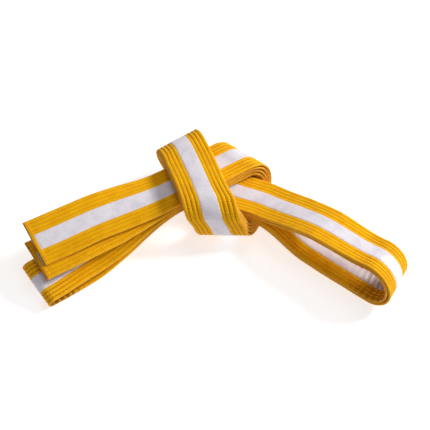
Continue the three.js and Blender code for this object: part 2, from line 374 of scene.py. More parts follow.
@dataclass
class Strap:
    """The strap's lines as arrays, ready for meshes.

    Attributes:
        route: The way that it takes.
        middle: The middle of each line, in millimetres in the frame.
        across: The vector to the first edge, for each millimetre across.
        normal: The unit normal of the front face.
        along: How far from the first end each line lies, in millimetres.
        bend: The smoothed curvature, positive where the front is the outer side.
        drawn: How hard the folds nearby draw the cloth into ribs, 0 to 1.
        left_fold: Where along the strap the tight left fold has its middle.
        inner_loop: Where the inner open loop has its middle.
        reach: How far along the strap a fold is felt, in millimetres.
    """

    route: Route
    middle: Array = field(init=False)
    across: Array = field(init=False)
    normal: Array = field(init=False)
    along: Array = field(init=False)
    bend: Array = field(init=False)
    drawn: Array = field(init=False)
    left_fold: float = field(init=False)
    inner_loop: float = field(init=False)
    reach: float = 14.0

    def __post_init__(self) -> None:
        """Work out the arrays from the route's stations."""
        lines = self.route.stations()
        self.middle = np.array([line.middle - FRAME_ORIGIN for line in lines])
        self.across = np.array([line.across for line in lines]) / HALF_WIDTH
        self.normal = np.array([line.normal() for line in lines])
        travel = np.array([line.travel for line in lines])
        steps = np.linalg.norm(np.diff(self.middle, axis=0), axis=1)
        self.along = np.concatenate([[0.0], np.cumsum(steps)])
        turn = np.gradient(self.normal, self.along, axis=0)
        raw = np.einsum("ij,ij->i", turn, travel)
        gaps = self.along[:, None] - self.along[None, :]
        weight = np.exp(-0.5 * (gaps / self.reach) ** 2) * np.gradient(self.along)[None, :]
        self.bend = weight @ raw / weight.sum(axis=1)
        tight = weight @ np.abs(raw) / weight.sum(axis=1)
        self.drawn = np.clip(tight / TIGHT, 0.0, 1.0)
        x, half = self.middle[:, 0], self.length / 2
        near_half = np.abs(self.along - half) < LEFT_FOLD_REACH
        self.left_fold = self.middle_of((x < LEFT_FOLD_PAST) & near_half)
        self.inner_loop = self.middle_of((x > INNER_LOOP_PAST) & (self.along > half))

    def middle_of(self, part: Array) -> float:
        """Return the place along the strap halfway between the first and the last of some lines."""
        return 0.5 * float(self.along[part].min() + self.along[part].max())

    def free_run(self, s: Array, fold: float, loop: float) -> Array:
        """Return how high puckers may stand where nothing lies against the strap.

        Args:
            s: Millimetres along.
            fold: Their height by the tight left fold, in millimetres.
            loop: Their height in the inner open loop.

        Returns:
            Millimetres, 0 on every other run.
        """

        def near(middle: float, full: float, none: float) -> Array:
            """Return 1 within so many millimetres of a place, falling to 0 at so many."""
            return np.clip((none - np.abs(s - middle)) / (none - full), 0.0, 1.0)

        return np.maximum(near(self.left_fold, 21.0, 51.0) * fold, near(self.inner_loop, 36.0, 76.0) * loop)

    @property
    def length(self) -> float:
        """The flat length of the strap, in millimetres."""
        return float(self.along[-1])

    def points(self, across: Array, above: Array) -> Array:
        """Place points of the strap's section on every line.

        Args:
            across: Rows by columns, millimetres from the middle towards the first edge.
            above: Rows by columns, millimetres above the middle surface.

        Returns:
            Rows by columns by three, in millimetres in the frame.
        """
        return (
            self.middle[:, None, :]
            + self.across[:, None, :] * across[:, :, None]
            + self.normal[:, None, :] * above[:, :, None]
        )

    def place(self, along: Array, across: Array, above: Array) -> tuple[Array, ...]:
        """Find points and directions anywhere on the strap.

        Args:
            along: Millimetres from the first end, one for each point.
            across: Millimetres from the middle.
            above: Millimetres above the middle surface.

        Returns:
            The points, the directions of travel and the normals.
        """

        def read(array: Array, at: Array) -> Array:
            """Read an array of vectors at places along the strap."""
            return np.stack([np.interp(at, self.along, array[:, k]) for k in range(3)], axis=1)

        def spot(at: Array) -> Array:
            """Return the points at places along the strap."""
            return (
                read(self.middle, at)
                + read(self.across, at) * across[:, None]
                + read(self.normal, at) * above[:, None]
            )

        travel = spot(along + NEARBY) - spot(along - NEARBY)
        travel /= np.linalg.norm(travel, axis=1)[:, None]
        normal = read(self.normal, along)
        normal -= travel * np.einsum("ij,ij->i", normal, travel)[:, None]
        normal /= np.linalg.norm(normal, axis=1)[:, None]
        return spot(along), travel, normal


# ---- shader maths


class Value:
    """A socket of numbers or vectors whose operators add Math nodes."""

    def __init__(self, graph: "Graph", socket: bpy.types.NodeSocket) -> None:
        """Wrap a socket of a graph."""
        self.graph = graph
        self.socket = socket

    def __add__(self, other: Any) -> "Value":
        """Add."""
        return self.graph.math("ADD", self, other)

    __radd__ = __add__

    def __sub__(self, other: Any) -> "Value":
        """Subtract."""
        return self.graph.math("SUBTRACT", self, other)

    def __rsub__(self, other: Any) -> "Value":
        """Subtract this from another."""
        return self.graph.math("SUBTRACT", other, self)

    def __mul__(self, other: Any) -> "Value":
        """Multiply."""
        return self.graph.math("MULTIPLY", self, other)

    __rmul__ = __mul__

    def __abs__(self) -> "Value":
        """Return the absolute value."""
        return self.graph.math("ABSOLUTE", self)

    def sine(self) -> "Value":
        """Return the sine."""
        return self.graph.math("SINE", self)

    def ramp(self, low: float, high: float) -> "Value":
        """Return 0 below low, 1 above high and a smooth rise between."""
        made = self.graph.node(
            "ShaderNodeMapRange",
            {"interpolation_type": "SMOOTHSTEP"},
            {"Value": self, "From Min": low, "From Max": high},
        )
        return Value(self.graph, made.outputs["Result"])


@dataclass
class Graph:
    """A material's node tree, built in one place.

    Attributes:
        name: The material's name.
        material: The material.
        tree: Its node tree.
        shader: Its Principled shader.
    """

    name: str
    material: bpy.types.Material = field(init=False)
    tree: bpy.types.NodeTree = field(init=False)
    shader: bpy.types.Node = field(init=False)

    def __post_init__(self) -> None:
        """Make the material with a bare Principled shader."""
        self.material = bpy.data.materials.new(self.name)
        self.material.use_nodes = True
        self.tree = self.material.node_tree
        self.tree.nodes.clear()
        output = self.tree.nodes.new("ShaderNodeOutputMaterial")
        self.shader = self.tree.nodes.new("ShaderNodeBsdfPrincipled")
        self.tree.links.new(self.shader.outputs["BSDF"], output.inputs["Surface"])

    def node(self, kind: str, settings: dict[str, Any], inputs: dict[Any, Any]) -> bpy.types.Node:
        """Add a node.

        Args:
            kind: The node's type.
            settings: Its properties, set first.
            inputs: Values or links for its sockets, by name or number.

        Returns:
            The node.
        """
        made = self.tree.nodes.new(kind)
        for name, value in settings.items():
            setattr(made, name, value)
        for name, value in inputs.items():
            self.feed(made.inputs[name], value)
        return made

    def feed(self, socket: bpy.types.NodeSocket, value: Any) -> None:
        """Link a value to a socket, or set it there."""
        if isinstance(value, Value):
            self.tree.links.new(value.socket, socket)
        else:
            socket.default_value = value

    def math(self, operation: str, *values: Any) -> Value:
        """Return the result of a Math node."""
        made = self.node("ShaderNodeMath", {"operation": operation}, dict(enumerate(values)))
        return Value(self, made.outputs[0])

    def mix(self, factor: Any, first: Any, second: Any) -> Value:
        """Mix two colours.

        Args:
            factor: How much of the second.
            first: A colour or a socket.
            second: A colour or a socket.

        Returns:
            The mixed colour.
        """
        made = self.node("ShaderNodeMix", {"data_type": "RGBA"}, {0: factor, 6: first, 7: second})
        return Value(self, made.outputs[2])

    def place(self) -> tuple[Value, Value, Value]:
        """Return the across, along and outward places on the strap, in millimetres."""
        read = self.node("ShaderNodeAttribute", {"attribute_name": PLACE}, {})
        split = self.node("ShaderNodeSeparateXYZ", {}, {0: Value(self, read.outputs["Vector"])})
        return tuple(Value(self, split.outputs[k]) for k in range(3))

    def stored(self, name: str) -> Value:
        """Return a point attribute that holds one number."""
        read = self.node("ShaderNodeAttribute", {"attribute_name": name}, {})
        return Value(self, read.outputs["Fac"])

    def vector(self, x: Any, y: Any, z: Any = 0.0) -> Value:
        """Join three values into a vector."""
        made = self.node("ShaderNodeCombineXYZ", {}, {0: x, 1: y, 2: z})
        return Value(self, made.outputs[0])

    def noise(self, vector: Value, scale: float, detail: float = 2.0) -> Value:
        """Return smooth noise from 0 to 1."""
        inputs = {"Vector": vector, "Scale": scale, "Detail": detail}
        return Value(self, self.node("ShaderNodeTexNoise", {}, inputs).outputs["Fac"])

    def bump(self, height: Value, strength: float, distance: float) -> None:
        """Lead a height into the shader's normal; a height of 1 is the distance in metres."""
        inputs = {"Height": height, "Strength": strength, "Distance": distance}
        made = self.node("ShaderNodeBump", {}, inputs)
        self.tree.links.new(made.outputs["Normal"], self.shader.inputs["Normal"])

    def set(self, **values: Any) -> bpy.types.Material:
        """Set the shader's sockets, with spaces written as underscores.

        Args:
            **values: Values or links by socket name.

        Returns:
            The finished material.
        """
        for name, value in values.items():
            self.feed(self.shader.inputs[name.replace("_", " ")], value)
        return self.material


Colour = tuple[float, float, float, float]


def srgb(code: str) -> Colour:
    """Turn a hexadecimal display colour into a linear one."""
    parts = [int(code[k : k + 2], 16) / 255 for k in (0, 2, 4)]
    linear = [v / 12.92 if v <= 0.04045 else ((v + 0.055) / 1.055) ** 2.4 for v in parts]
    return (linear[0], linear[1], linear[2], 1.0)


# ---- finishes


@dataclass(frozen=True)
class QuiltedCotton:
    """Golden cotton in a tight plain weave, drawn into lengthwise ribs by rows of stitches.

    Attributes:
        crest: The colour on top of a rib.
        hollow: The painted shade in a row of stitches, also painted in the tucks at the stitches and on the
            cut ends.
        warm: The colour that clouds the ribs.
        deep: The painted shade between two puckers.
        ribbed_from: Where the first rib starts, in millimetres from the middle.
        rib: The width of one rib.
        thread: The pitch of the weave's threads.
        stitch: The pitch of the crosswise tucks between stitches.
        length: The length of the strap, from one cut end to the other.
    """

    crest: Colour = srgb("f5b606")
    hollow: Colour = srgb("9a5203")
    warm: Colour = srgb("eca604")
    deep: Colour = srgb("7a3a04")
    ribbed_from: float = 6.2
    rib: float = 3.2
    thread: float = 0.62
    stitch: float = 1.9
    length: float = 2480.0

    def material(self) -> bpy.types.Material:
        """Build the cloth's material."""
        g = Graph("golden_cotton")
        across, along, _ = g.place()
        phase = (abs(across) - self.ribbed_from) * (math.pi / self.rib)
        rise = abs(phase.sine())
        past = (abs(across) - (self.ribbed_from + 0.5 * self.rib)).ramp(0.0, 0.5)
        drawn = g.stored(DRAWN)
        groove = (1 - rise.ramp(0.0, 0.62)) * past
        cloth = g.vector(across, along)
        cloudy = g.noise(cloth, 0.11, 3.0)
        fleck = g.noise(g.vector(across * 1.6, along * 0.5), 1.1)
        weave = (along * (2 * math.pi / self.thread)).sine()
        weave = weave * (across * (2 * math.pi / self.thread)).sine()
        pull = abs((along * (math.pi / self.stitch)).sine())
        tuck = groove * (1 - pull.ramp(0.0, 0.7))
        body = g.mix(cloudy.ramp(0.3, 0.75), self.crest, self.warm)
        # painted shade in the rows of stitches, deeper where the folds draw the ribs tight
        body = g.mix(groove * (drawn * 0.6 + 0.25), body, self.hollow)
        # the weave's thread pattern, plus painted shade in the tucks at the stitches and in the crosswise
        # dips where they pull
        body = g.mix((weave * 0.5 + 0.5) * 0.12 + tuck * 0.2 + (1 - pull) * 0.14, body, self.hollow)
        # painted shade on the turned cut ends, over their last 1.6 mm
        cut = abs(along - self.length / 2).ramp(self.length / 2 - 1.6, self.length / 2 - 0.2)
        body = g.mix(cut * 0.7, body, self.hollow)
        # painted shade between two puckers
        body = g.mix(g.stored(CREASE) * 0.8, body, self.deep)
        worn = (abs(across) + fleck * 0.7).ramp(HALF_WIDTH - 0.7, HALF_WIDTH + 0.6)
        body = g.mix(worn * 0.3, body, srgb("ffd36a"))
        height = weave * 0.16 + fleck * 0.45 + pull * 0.35 - groove * (drawn * 0.5 + 0.2)
        g.bump(height, 0.8, 0.4 * MM)
        return g.set(
            Base_Color=body,
            Roughness=fleck * 0.12 + 0.8,
            Specular_IOR_Level=0.08,
            Sheen_Weight=0.04,
            Sheen_Roughness=0.5,
        )


@dataclass(frozen=True)
class SatinRibbon:
    """White woven ribbon with a fine cross rib and a faint lilac cast.

    Attributes:
        light: Its own colour.
        shade: The colour between its cross ribs.
        deep: The painted shade between two puckers.
        rib: The pitch of the cross ribs, in millimetres.
        warp: The pitch of its lengthwise threads.
    """

    light: Colour = srgb("e0dbe2")
    shade: Colour = srgb("bdb4c4")
    deep: Colour = srgb("8e6c5c")
    rib: float = 0.8
    warp: float = 0.5

    def material(self) -> bpy.types.Material:
        """Build the ribbon's material."""
        g = Graph("white_ribbon")
        across, along, _ = g.place()
        slub = g.noise(g.vector(across * 0.25, along * 1.3), 0.9)
        cloudy = g.noise(g.vector(across, along), 0.09)
        ribs = (along * (2 * math.pi / self.rib) + slub * 1.5).sine()
        warp = (across * (2 * math.pi / self.warp)).sine()
        selvedge = abs(across).ramp(5.6, 6.4)
        colour = g.mix(cloudy.ramp(0.35, 0.8) * 0.55, self.light, self.shade)
        colour = g.mix((ribs * 0.5 + 0.5) * 0.14 + slub * 0.1, colour, self.shade)
        colour = g.mix(slub.ramp(0.56, 0.7) * 0.3, colour, srgb("ab9aa8"))
        colour = g.mix(selvedge * 0.35, colour, srgb("e6d9b8"))
        # painted shade between two puckers
        colour = g.mix(g.stored(CREASE) * 0.7, colour, self.deep)
        g.bump(ribs * 0.3 + warp * 0.1 + slub * 0.6, 0.6, 0.22 * MM)
        return g.set(
            Base_Color=colour,
            Roughness=slub * 0.15 + 0.46,
            Specular_IOR_Level=0.4,
            Sheen_Weight=0.15,
            Sheen_Roughness=0.4,
        )


@dataclass(frozen=True)
class SewingThread:
    """Twisted sewing thread in one colour.

    Attributes:
        name: The material's name.
        light: The colour of its crest.
        shade: The colour between its strands.
    """

    name: str
    light: Colour
    shade: Colour

    def material(self) -> bpy.types.Material:
        """Build the thread's material."""
        g = Graph(self.name)
        across, along, above = g.place()
        twist = ((along * 2.2 + across * 3.0 + above * 3.0) * (2 * math.pi)).sine()
        fuzz = g.noise(g.vector(across, along, above), 2.5)
        colour = g.mix((twist * 0.5 + 0.5) * 0.5, self.light, self.shade)
        colour = g.mix(fuzz * 0.25, colour, self.shade)
        g.bump(twist * 0.5 + fuzz * 0.3, 0.5, 0.1 * MM)
        return g.set(Base_Color=colour, Roughness=fuzz * 0.15 + 0.5, Sheen_Weight=0.2)


@dataclass(frozen=True)
class UndyedCotton:
    """The plain cotton of the padding inside.

    Attributes:
        light: Its lighter colour.
        shade: Its darker colour.
        weave: How fast its weave turns, in radians for each millimetre.
    """

    light: Colour = srgb("dfd5bd")
    shade: Colour = srgb("b9ad92")
    weave: float = 7.0

    def material(self) -> bpy.types.Material:
        """Build the padding's material."""
        g = Graph("core_cotton")
        across, along, _ = g.place()
        fuzz = g.noise(g.vector(across, along), 1.4, 3.0)
        weave = (across * self.weave).sine() * (along * self.weave).sine()
        colour = g.mix(fuzz * 0.7 + weave * 0.1 + 0.1, self.light, self.shade)
        g.bump(weave * 0.3 + fuzz, 0.6, 0.2 * MM)
        return g.set(Base_Color=colour, Roughness=fuzz * 0.1 + 0.88, Sheen_Weight=0.2)


@dataclass(frozen=True)
class PaleFloor:
    """A plain near-white surface."""

    light: Colour = (0.72, 0.72, 0.725, 1.0)
    shade: Colour = (0.69, 0.69, 0.70, 1.0)

    def material(self) -> bpy.types.Material:
        """Build the floor's material."""
        g = Graph("pale_floor")
        where = g.node("ShaderNodeTexCoord", {}, {})
        soft = g.noise(Value(g, where.outputs["Object"]), 3.0)
        return g.set(
            Base_Color=g.mix(soft, self.light, self.shade),
            Roughness=0.8,
            Specular_IOR_Level=0.15,
            Emission_Color=(1.0, 1.0, 1.0, 1.0),
            Emission_Strength=0.6,
        )


# ---- meshes along the strap


class Ends(Enum):
    """How the two ends of a tube along the strap are closed."""

    PINCHED = "pinched"
    CUT = "cut"


def finished(bm: bmesh.types.BMesh, name: str, smooth: bool = True) -> bpy.types.Object:
    """Turn a bmesh into an object at the origin.

    Args:
        bm: The bmesh, which is freed.
        name: The name of the object.
        smooth: Whether its faces are shaded smooth.

    Returns:
        The object, linked to the scene.
    """
    mesh = bpy.data.meshes.new(name)
    bm.to_mesh(mesh)
    bm.free()
    mesh.polygons.foreach_set("use_smooth", [smooth] * len(mesh.polygons))
    made = bpy.data.objects.new(name, mesh)
    bpy.context.scene.collection.objects.link(made)
    return made


def around(columns: Array) -> tuple[Array, Array]:
    """Take the columns of the front face all the way round a closed section.

    Args:
        columns: Millimetres across, from the first edge to the second.

    Returns:
        Millimetres across, and 1 on the front, -1 on the back and 0 on the two edges. The first
        column comes again at the end, where the flat grid is joined into a tube.
    """
    inner, ones = columns[1:-1], np.ones(len(columns) - 2)
    across = np.concatenate([columns, inner[::-1], columns[:1]])
    return across, np.concatenate([[0.0], ones, [0.0], -ones, [0.0]])


def store_place(mesh: bpy.types.Mesh, place: Array) -> None:
    """Store every point's across, along and outward place on the strap, in millimetres."""
    store = mesh.attributes.new(PLACE, "FLOAT_VECTOR", "POINT")
    store.data.foreach_set("vector", place.ravel())


@dataclass
class StrapTube:
    """A closed skin along the strap, cut flat as a grid and bent onto the route.

    Attributes:
        name: The object's name.
        strap: The strap that it follows.
        columns: Millimetres across on its front face, from the first edge to the second.
        above: Gives millimetres above the middle surface from across, along, side and bend.
        ends: How its ends close.
        crease: Gives how deep a place lies between two puckers, from the same four.
        sway: Gives millimetres sideways from across and along.
    """

    name: str
    strap: Strap
    columns: Array
    above: SkinMap
    ends: Ends
    crease: SkinMap | None = None
    sway: Callable[[Array, Array], Array] | None = None

    def build(self) -> bpy.types.Object:
        """Cut the grid, bend it, join its long edges and close its ends."""
        across, side = around(self.columns)
        rows, columns = len(self.strap.along), len(across)
        bm = bmesh.new()
        bmesh.ops.create_grid(bm, x_segments=columns - 1, y_segments=rows - 1, size=0.5)
        flat = bpy.data.meshes.new(self.name + "_flat")
        bm.to_mesh(flat)
        bm.free()
        spots = np.empty(len(flat.vertices) * 3)
        flat.vertices.foreach_get("co", spots)
        spots = spots.reshape(-1, 3) + 0.5
        column = np.rint(spots[:, 0] * (columns - 1)).astype(int)
        row = np.rint(spots[:, 1] * (rows - 1)).astype(int)
        u, s, sides, bend = np.broadcast_arrays(
            across[None, :], self.strap.along[:, None], side[None, :], self.strap.bend[:, None]
        )
        h = self.above(u, s, sides, bend)
        depth = np.zeros_like(h) if self.crease is None else self.crease(u, s, sides, bend)
        shifted = u if self.sway is None else u + self.sway(u, s)
        if self.ends is Ends.PINCHED:
            near = np.minimum(s, self.strap.length - s)
            h = h * (1.0 - PINCH_DEPTH + PINCH_DEPTH * np.sqrt(np.clip(near / PINCH_REACH, 0.0, 1.0)))
        points = self.strap.points(shifted, h) * MM
        flat.vertices.foreach_set("co", points[row, column].ravel())
        store_place(flat, np.stack([u, s, h], axis=2)[row, column])
        for name, values in ((CREASE, depth[row, column]), (DRAWN, self.strap.drawn[row])):
            flat.attributes.new(name, "FLOAT", "POINT").data.foreach_set("value", values)
        round_it = np.concatenate([[0.0], np.cumsum(np.abs(np.diff(across)) + np.abs(np.diff(side)))])
        corner = np.empty(len(flat.loops), dtype=np.int32)
        flat.loops.foreach_get("vertex_index", corner)
        uv = np.stack([round_it[column[corner]], self.strap.along[row[corner]]], axis=1) / UV_UNIT
        flat.uv_layers.new(name="strap").data.foreach_set("uv", uv.ravel())
        bm = bmesh.new()
        bm.from_mesh(flat)
        bpy.data.meshes.remove(flat)
        bmesh.ops.remove_doubles(bm, verts=bm.verts, dist=0.002 * MM)
        rims = [edge for edge in bm.edges if edge.is_boundary]
        caps = bmesh.ops.holes_fill(bm, edges=rims, sides=0)["faces"]
        bmesh.ops.triangulate(bm, faces=caps)
        bmesh.ops.recalc_face_normals(bm, faces=bm.faces)
        return finished(bm, self.name)


def ripple(along: Array, across: Array, pitch: float, seed: float) -> Array:
    """Return soft crosswise puckers, from 0 to 1.

    Args:
        along: Millimetres along the strap.
        across: Millimetres across it.
        pitch: The distance between puckers.
        seed: Sets their places.

    Returns:
        The puckers' height.
    """
    drift = 1.1 * np.sin(along / 17.3 + seed) + 0.8 * np.sin(across / 3.1 + along / 29.0 + seed * 2.0)
    wave = np.sin(2 * math.pi * along / pitch + drift)
    strength = 0.6 + 0.4 * np.sin(along / 11.7 + across / 5.3 + seed)
    return np.clip(wave, 0.0, 1.0) ** 1.5 * strength


# ---- the belt's sub-assemblies


def hemmed(along: Array, length: float) -> Array:
    """Return 1 on the turned hems at the two cut ends and 0 between them.

    Args:
        along: Millimetres along the strap.
        length: The strap's length.

    Returns:
        How much each place belongs to a hem.
    """
    near = np.minimum(along, length - along)
    return np.clip((HEM_FOLD - near) / HEM_STEP, 0.0, 1.0)


def squeezed(bend: Array, side: Array | float) -> Array:
    """Return how much of the puckers shows, from 0 to 1.

    Args:
        bend: The strap's curvature, positive where its front is the outer side.
        side: 1 on the front and -1 on the back.

    Returns:
        0 outside a bend, up to 1 on its inner side.
    """
    return np.clip(-bend * side * SQUEEZE, 0.0, 1.0)


def creased(puckers: Array, inside: Array, free: Array) -> Array:
    """Return how deep a place lies between two puckers, 0 to 1.

    Args:
        puckers: The puckers' height, 0 to 1.
        inside: How much of them shows, from `squeezed`.
        free: How much room they have, from `Strap.free_run`.

    Returns:
        The depth, which the shaders paint as shade.
    """
    return (1.0 - puckers) ** 2 * inside * np.clip(free, 0.0, 1.0)


@dataclass
class QuiltedSleeve:
    """The golden cotton sleeve, quilted into four ribs on each side of the ribbon.

    Attributes:
        strap: The strap that it covers.
        ribs: How many ribs lie on each side of the ribbon.
        rib: The width of a rib, in millimetres.
        ribbed_from: Where the first rib starts, from the middle.
        hollow: Half the thickness in a row of stitches.
        swell: How much more it is on the crest of a rib.
        ease: How much less deep the hollows are on a slack run.
        seat: Half the thickness under the ribbon.
        roundness: The power of a sine that a rib's section follows.
        hem: Half the thickness of a turned hem.
        edge: Over how many millimetres each edge is rounded.
    """

    strap: Strap
    ribs: int = 4
    rib: float = 3.2
    ribbed_from: float = 6.2
    hollow: float = 0.40
    swell: float = 0.68
    ease: float = 0.34
    seat: float = 0.80
    roundness: float = 0.62
    hem: float = 1.22
    edge: float = 1.1

    def columns(self) -> Array:
        """Return the columns of one face, from the first edge to the second."""
        parts = (0.0, 0.22, 0.5, 0.78)
        out = [self.ribbed_from + (k + part) * self.rib for k in range(self.ribs) for part in parts]
        side = np.array(out[1:] + [HALF_WIDTH - 0.22, HALF_WIDTH])
        middle = np.array([self.ribbed_from, self.ribbed_from / 3])
        half = np.concatenate([side[::-1], middle])
        return np.concatenate([half, -half[::-1]])

    def above(self, u: Array, s: Array, side: Array, bend: Array) -> Array:
        """Return the quilted surface's height.

        Args:
            u: Millimetres across.
            s: Millimetres along.
            side: 1 on the front, -1 on the back, 0 on an edge.
            bend: The strap's curvature, positive where its front is the outer side.

        Returns:
            Millimetres above the middle surface.
        """
        out = np.abs(u)
        phase = np.clip(out - self.ribbed_from, 0.0, None) * math.pi / self.rib
        rib = np.abs(np.sin(phase)) ** self.roundness
        pulled = np.interp(s, self.strap.along, self.strap.drawn)
        hollow = self.hollow + self.ease * (1.0 - pulled)
        ribbed = hollow + (self.hollow + self.swell - hollow) * rib
        height = np.where(out > self.ribbed_from + self.rib / 2, ribbed, np.maximum(ribbed, self.seat))
        hem = hemmed(s, self.strap.length)
        height = height * (1.0 - hem) + (self.hem - 0.05 * rib) * hem
        edge = np.clip((out - (HALF_WIDTH - self.edge)) / self.edge, 0.0, 1.0)
        height = height * np.sqrt(1.0 - edge**2)
        slack = np.clip((np.abs(bend) - 0.045) * 8.0, 0.0, 1.0)
        room = 0.12 + self.strap.free_run(s, 0.95, 0.6)
        lift = ripple(s, u, *COVER_PUCKERS) * squeezed(bend, side) * room
        drawn = ripple(s, u, 7.9, 2.1) * 0.10
        swell = 0.04 * np.sin(s / 8.1 + u / 2.7)
        height = height * (1.0 + swell - 0.5 * drawn) + lift * np.sin(np.clip(phase, 0.0, math.pi / 2))
        height = height * (1.0 - 0.12 * slack)
        return height * side

    def crease(self, u: Array, s: Array, side: Array, bend: Array) -> Array:
        """Return how deep a place lies between two puckers, from the same numbers as `above`."""
        free = self.strap.free_run(s, 1.0, 0.55)
        return creased(ripple(s, u, *COVER_PUCKERS), squeezed(bend, side), free)

    def sway(self, u: Array, s: Array) -> Array:
        """Return how far the cloth strays sideways, most at the edges."""
        share = (u / HALF_WIDTH) ** 3
        return share * (0.12 * np.sin(s / 13.0 + np.sign(u)) + 0.07 * np.sin(s / 5.3 + 2.0 * np.sign(u)))

    def build(self) -> bpy.types.Object:
        """Build the sleeve and stand it for its CAD solid."""
        made = StrapTube(
            "quilted_sleeve", self.strap, self.columns(), self.above, Ends.PINCHED,
            crease=self.crease, sway=self.sway,
        ).build()
        finish = QuiltedCotton(ribbed_from=self.ribbed_from, rib=self.rib, length=self.strap.length)
        made.data.materials.append(finish.material())
        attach(made, "root")
        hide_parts("cover_sleeve")
        return made


class Face(Enum):
    """A face of the strap, with its sign."""

    FRONT = 1
    BACK = -1


@dataclass
class CentreRibbon:
    """The white ribbon sewn along the middle of one face.

    Attributes:
        strap: The strap that it is sewn to.
        face: The face on which it lies.
        width: Its width, in millimetres.
        low: Its underside's height above the middle surface.
        thick: Its thickness.
        crown: How much its middle stands higher.
        dip: How much lower it lies under a hem.
        rim: How far its last column lies inside its edge.
    """

    strap: Strap
    face: Face
    width: float = 13.0
    low: float = 0.84
    thick: float = 0.2
    crown: float = 0.12
    dip: float = 0.3
    rim: float = 0.1

    def above(self, u: Array, s: Array, side: Array, bend: Array) -> Array:
        """Return the ribbon's height above the middle surface, with puckers where it is squeezed."""
        sign = self.face.value
        share = np.clip(1.0 - (u / (self.width / 2)) ** 2, 0.0, 1.0)
        room = 0.06 + self.strap.free_run(s, 1.1, 1.3)
        lift = ripple(s, u, *RIBBON_PUCKERS) * squeezed(bend, sign) * room * np.sqrt(share)
        faint = ripple(s, u, 6.4, 1.3) * 0.12 * share
        middle = self.low + self.thick / 2 + self.crown * share + lift + faint
        middle = middle - self.dip * hemmed(s, self.strap.length)
        return sign * middle + side * self.thick / 2

    def crease(self, u: Array, s: Array, side: Array, bend: Array) -> Array:
        """Return how deep a place lies between two puckers, from the same numbers as `above`."""
        inside, free = squeezed(bend, self.face.value), self.strap.free_run(s, 1.0, 1.0)
        return creased(ripple(s, u, *RIBBON_PUCKERS), inside, free) * (0.55 + 0.45 * np.abs(side))

    def build(self) -> bpy.types.Object:
        """Build the ribbon and stand it for its CAD solid."""
        half = self.width / 2
        inner = np.linspace(half - self.rim, self.rim - half, 9)
        columns = np.concatenate([[half], inner, [-half]])
        name = "centre_ribbon_" + self.face.name.lower()
        made = StrapTube(
            "sewn_" + name, self.strap, columns, self.above, Ends.CUT, crease=self.crease
        ).build()
        made.data.materials.append(ribbon_cloth())
        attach(made, "root")
        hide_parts(name)
        return made


@dataclass
class CoreStrip:
    """The cotton padding inside the sleeve.

    Attributes:
        strap: The strap that it fills.
        margin: From its edge to the strap's edge, in millimetres.
        half: Half its thickness.
    """

    strap: Strap
    margin: float = 1.4
    half: float = 0.28

    def above(self, u: Array, s: Array, side: Array, bend: Array) -> Array:
        """Return the padding's height above the middle surface."""
        return side * (self.half + 0.02 * np.sin(s / 4.1 + u))

    def build(self) -> bpy.types.Object:
        """Build the padding and stand it for its CAD solid."""
        half = HALF_WIDTH - self.margin
        made = StrapTube(
            "padding_strip", self.strap, np.linspace(half, -half, 5), self.above, Ends.CUT
        ).build()
        made.data.materials.append(UndyedCotton().material())
        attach(made, "root")
        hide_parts("core_strip")
        return made


@dataclass
class Stitches:
    """Many equal stitches, each a small spindle of thread.

    Attributes:
        name: The object's name.
        length: A stitch's length, in millimetres.
        width: Its width.
        height: Its height.
    """

    name: str
    length: float = 2.5
    width: float = 0.42
    height: float = 0.3

    def build(self, points: Array, travel: Array, normal: Array, place: Array) -> bpy.types.Object:
        """Build the stitches.

        Args:
            points: The middle of each stitch, in millimetres.
            travel: The unit direction of each.
            normal: The unit normal at each.
            place: Beside, along and above its row for each, in millimetres on the strap.

        Returns:
            One object with all of them.
        """
        count = len(points)
        bm = bmesh.new()
        bmesh.ops.create_icosphere(bm, subdivisions=1, radius=0.5)
        each = len(bm.verts)
        while len(bm.verts) < count * each:
            missing = count - len(bm.verts) // each
            geometry = list(bm.verts)[: missing * each]
            chosen = set(geometry)
            edges = [edge for edge in bm.edges if edge.verts[0] in chosen and edge.verts[1] in chosen]
            faces = [face for face in bm.faces if face.verts[0] in chosen]
            bmesh.ops.duplicate(bm, geom=geometry + edges + faces)
            bm.verts.ensure_lookup_table()
        made = finished(bm, self.name)
        spots = np.empty(count * each * 3)
        made.data.vertices.foreach_get("co", spots)
        local = spots.reshape(count, each, 3)
        side = np.cross(normal, travel)
        placed = (
            points[:, None, :]
            + travel[:, None, :] * local[:, :, :1] * self.length
            + side[:, None, :] * local[:, :, 1:2] * self.width
            + normal[:, None, :] * local[:, :, 2:] * self.height
        )
        made.data.vertices.foreach_set("co", (placed * MM).ravel())
        store_place(made.data, place[:, None, :] + local)
        made.data.update()
        return made


